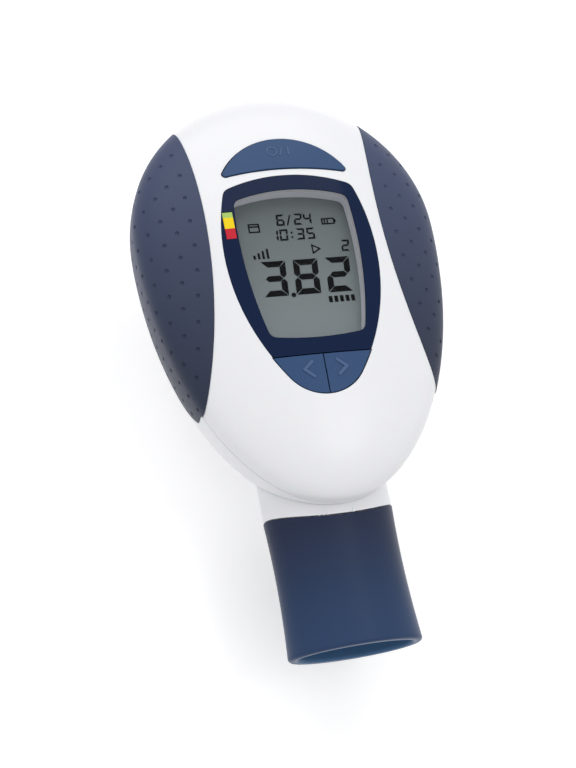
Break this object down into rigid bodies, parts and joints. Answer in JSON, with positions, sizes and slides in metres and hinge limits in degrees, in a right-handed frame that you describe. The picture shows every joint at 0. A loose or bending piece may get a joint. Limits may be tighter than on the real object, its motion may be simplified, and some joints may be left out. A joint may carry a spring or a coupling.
{
  "type": "peak flow meter",
  "caption": "Hand-held turbine peak flow meter with an egg-shaped white case, navy grips, shield-shaped display panel and oval clip-on mouthpiece.",
  "frame": {"origin": "under the middle of the whole meter, on the plane that its flat back rests on", "axes": "+X across the display to its right, +Y from the mouthpiece to the head of the case, +Z out of the display"},
  "size_m": [0.078, 0.142, 0.0475],
  "materials": {
    "white_shell": "moulded, satin gloss",
    "grip_rubber": "soft-touch, dimpled",
    "navy_gloss": "high gloss",
    "clear_window": "polished",
    "zone_label": "printed, three colours",
    "lcd_glass": "reflective display",
    "grey_frame": "moulded, fine texture",
    "elastomer": "layered elastomer",
    "circuit_board": "solder mask",
    "chip_black": "moulded epoxy",
    "steel": "zinc plated",
    "blue_key": "satin",
    "mouth_navy": "satin, slightly clear",
    "seal_rubber": "smooth",
    "jewel": "polished",
    "swirler_grey": "moulded",
    "cell_can": "plain jacket",
    "contact_metal": "nickel plated",
    "lead_red": "wire jacket"
  },
  "bodies": {
    "housing": {"front_shell": "white_shell", "rear_shell": "white_shell", "left_grip": "grip_rubber", "right_grip": "grip_rubber", "display_bezel": "navy_gloss", "display_window": "clear_window", "zone_strip": "zone_label", "lcd_panel": "lcd_glass", "lcd_frame": "grey_frame", "lcd_connector": "elastomer", "main_board": "circuit_board", "board_screws": "steel", "board_chips": "chip_black", "dome_switches": "contact_metal", "buzzer": "chip_black", "sensor_bridge": "chip_black", "infrared_pair": "clear_window", "exhaust_duct": "swirler_grey", "foot_battery": "cell_can", "head_battery": "cell_can", "battery_springs": "contact_metal", "battery_contacts": "contact_metal", "battery_leads": "lead_red", "case_screws": "steel"},
    "power_button": {"power_button": "blue_key"},
    "left_key": {"left_key": "blue_key"},
    "right_key": {"right_key": "blue_key"},
    "tube": {"measuring_tube": "white_shell", "tube_seal": "seal_rubber", "tube_windows": "clear_window", "inlet_swirler": "swirler_grey", "outlet_swirler": "swirler_grey", "rotor_bearings": "jewel"},
    "rotor": {"rotor_shaft": "steel", "rotor_vane": "chip_black"},
    "mouthpiece": {"mouthpiece": "mouth_navy"},
    "battery_door": {"battery_door": "white_shell"}
  },
  "joints": [
    {"name": "power_button_press", "type": "slide", "parent": "housing", "child": "power_button", "axis": [0, 0, -1], "range_m": [0, 0.0006], "stiffness_N_per_m": 1200},
    {"name": "left_key_press", "type": "slide", "parent": "housing", "child": "left_key", "axis": [0, 0, -1], "range_m": [0, 0.0006], "stiffness_N_per_m": 1200},
    {"name": "right_key_press", "type": "slide", "parent": "housing", "child": "right_key", "axis": [0, 0, -1], "range_m": [0, 0.0006], "stiffness_N_per_m": 1200},
    {"name": "tube_pull", "type": "slide", "parent": "housing", "child": "tube", "axis": [0, -1, 0], "range_m": [0, 0.045]},
    {"name": "rotor_spin", "type": "hinge", "parent": "tube", "child": "rotor", "pos_m": [0, -0.016, 0.0255], "axis": [0, 1, 0], "continuous": true},
    {"name": "mouthpiece_pull", "type": "slide", "parent": "tube", "child": "mouthpiece", "axis": [0, -1, 0], "range_m": [0, 0.026]},
    {"name": "battery_door_pull", "type": "slide", "parent": "housing", "child": "battery_door", "axis": [0, 0, -1], "range_m": [0, 0.018]}
  ]
}
